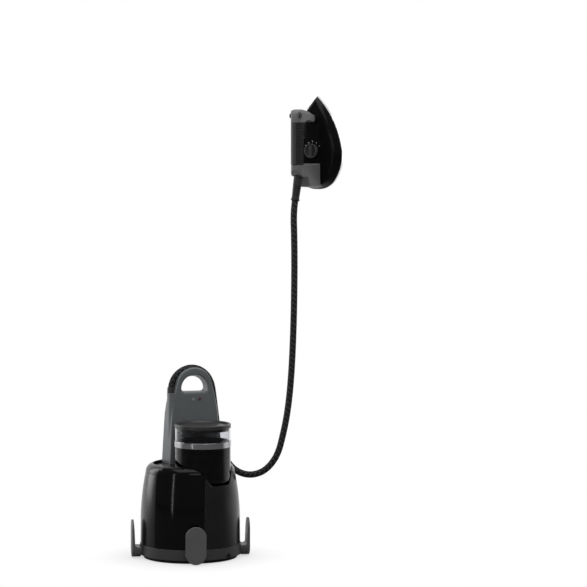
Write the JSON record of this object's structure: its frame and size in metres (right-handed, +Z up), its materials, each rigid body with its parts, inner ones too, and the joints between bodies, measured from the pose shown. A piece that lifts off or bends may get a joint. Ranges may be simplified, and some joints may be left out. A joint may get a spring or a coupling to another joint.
{
  "type": "steam station",
  "caption": "Round steam station with a clear lift-out water tank, a carrying arch and cord hooks, and a steam iron held upright on a braided hose for steaming hanging clothes.",
  "frame": {"origin": "on the floor, in the middle of the base's foot ring", "axes": "+Z up; -Y is the base's front, where the gloss panel is; +X points from the base towards the iron"},
  "size_m": [0.4599, 0.2766, 0.9636],
  "materials": {
    "panel_black": "high gloss",
    "shell_black": "gloss",
    "ring_grey": "satin",
    "hook_grey": "satin",
    "tower_grey": "satin",
    "dark_plastic": "matte",
    "foot_rubber": "matte",
    "hose_braid": "woven",
    "lens_white": "gloss",
    "lens_red": "gloss",
    "board_green": "satin",
    "boiler_metal": "cast",
    "steel": "brushed",
    "brass": "satin",
    "pump_metal": "satin",
    "tube_silicone": "satin",
    "tank_clear": "clear",
    "band_light": "gloss",
    "cup_smoke": "gloss",
    "lid_grey": "satin",
    "sole_metal": "polished",
    "iron_black": "gloss",
    "iron_grey": "satin",
    "spine_grey": "satin",
    "grip_rubber": "matte"
  },
  "bodies": {
    "base": {"base_tray": "ring_grey", "foot_ring": "foot_rubber", "cord_gland": "foot_rubber", "hook_front": "hook_grey", "hook_right": "hook_grey", "hook_back": "hook_grey", "hook_left": "hook_grey", "hook_screws": "steel", "front_panel": "panel_black", "rear_shell": "shell_black", "top_deck": "tower_grey", "tank_well": "dark_plastic", "hose_on_handle": "hose_braid", "hose_collar": "dark_plastic", "tower_front": "tower_grey", "tower_back": "tower_grey", "tower_screws": "steel", "lens_white": "lens_white", "lens_red": "lens_red", "control_board": "board_green", "boiler_lower": "boiler_metal", "boiler_upper": "boiler_metal", "boiler_screws": "steel", "heater_ring": "steel", "boiler_thermostat": "brass", "safety_valve": "brass", "steam_valve": "brass", "steam_tube": "tube_silicone", "pump": "pump_metal", "pump_mounts": "foot_rubber", "dock_coupling": "dark_plastic", "feed_tube": "tube_silicone", "pressure_tube": "tube_silicone", "switch_frame": "dark_plastic", "steam_hose": "hose_braid"},
    "tank": {"tank_vessel": "tank_clear", "tank_band": "band_light", "filter_basket": "cup_smoke", "valve_cage": "dark_plastic", "valve_spring": "steel"},
    "tank_valve": {"valve_poppet": "dark_plastic"},
    "lid": {"tank_lid": "lid_grey", "lid_seal": "foot_rubber"},
    "drain": {"drain_plug": "dark_plastic"},
    "switch": {"power_switch": "dark_plastic"},
    "iron": {"soleplate": "sole_metal", "heater_block": "boiler_metal", "thermostat": "brass", "skirt": "iron_black", "handle_core": "dark_plastic", "grip_sleeve": "grip_rubber", "handle_spine": "spine_grey", "hose_boot": "grip_rubber", "heel_cover": "iron_grey", "trigger_pin": "dark_plastic", "front_arch": "iron_grey", "trigger_spring": "steel"},
    "trigger": {"steam_trigger": "dark_plastic"},
    "dial": {"temperature_dial": "spine_grey"}
  },
  "joints": [
    {"name": "iron_lift", "type": "slide", "parent": "base", "child": "iron", "axis": [0, 0, 1], "range_m": [-0.12, 0.04], "deforming": ["steam_hose"]},
    {"name": "tank_lift", "type": "slide", "parent": "base", "child": "tank", "axis": [0, 0, 1], "range_m": [0, 0.2]},
    {"name": "lid_lift", "type": "slide", "parent": "tank", "child": "lid", "axis": [0, 0, 1], "range_m": [0, 0.05]},
    {"name": "valve_open", "type": "slide", "parent": "tank", "child": "tank_valve", "axis": [0, 0, 1], "range_m": [0, 0.003], "stiffness_N_per_m": 300, "springref_m": -0.003, "deforming": ["valve_spring"]},
    {"name": "drain_turn", "type": "hinge", "parent": "base", "child": "drain", "pos_m": [-0.022, 0.018, 0.01], "axis": [0, 0, 1], "continuous": true},
    {"name": "switch_tip", "type": "hinge", "parent": "base", "child": "switch", "pos_m": [0.07227, 0.07227, 0.075], "axis": [-0.7071, 0.7071, 0], "range_deg": [0, 16]},
    {"name": "trigger_press", "type": "hinge", "parent": "iron", "child": "trigger", "pos_m": [0.22882, 0.04176, 0.9226], "axis": [-0.766, 0.6428, 0], "range_deg": [0, 6], "stiffness_Nm_per_rad": 1, "springref_deg": -3.44, "deforming": ["trigger_spring"]},
    {"name": "dial_turn", "type": "hinge", "parent": "iron", "child": "dial", "pos_m": [0.27092, 0.09193, 0.8476], "axis": [-0.6428, -0.766, 0], "range_deg": [-135, 135]}
  ]
}
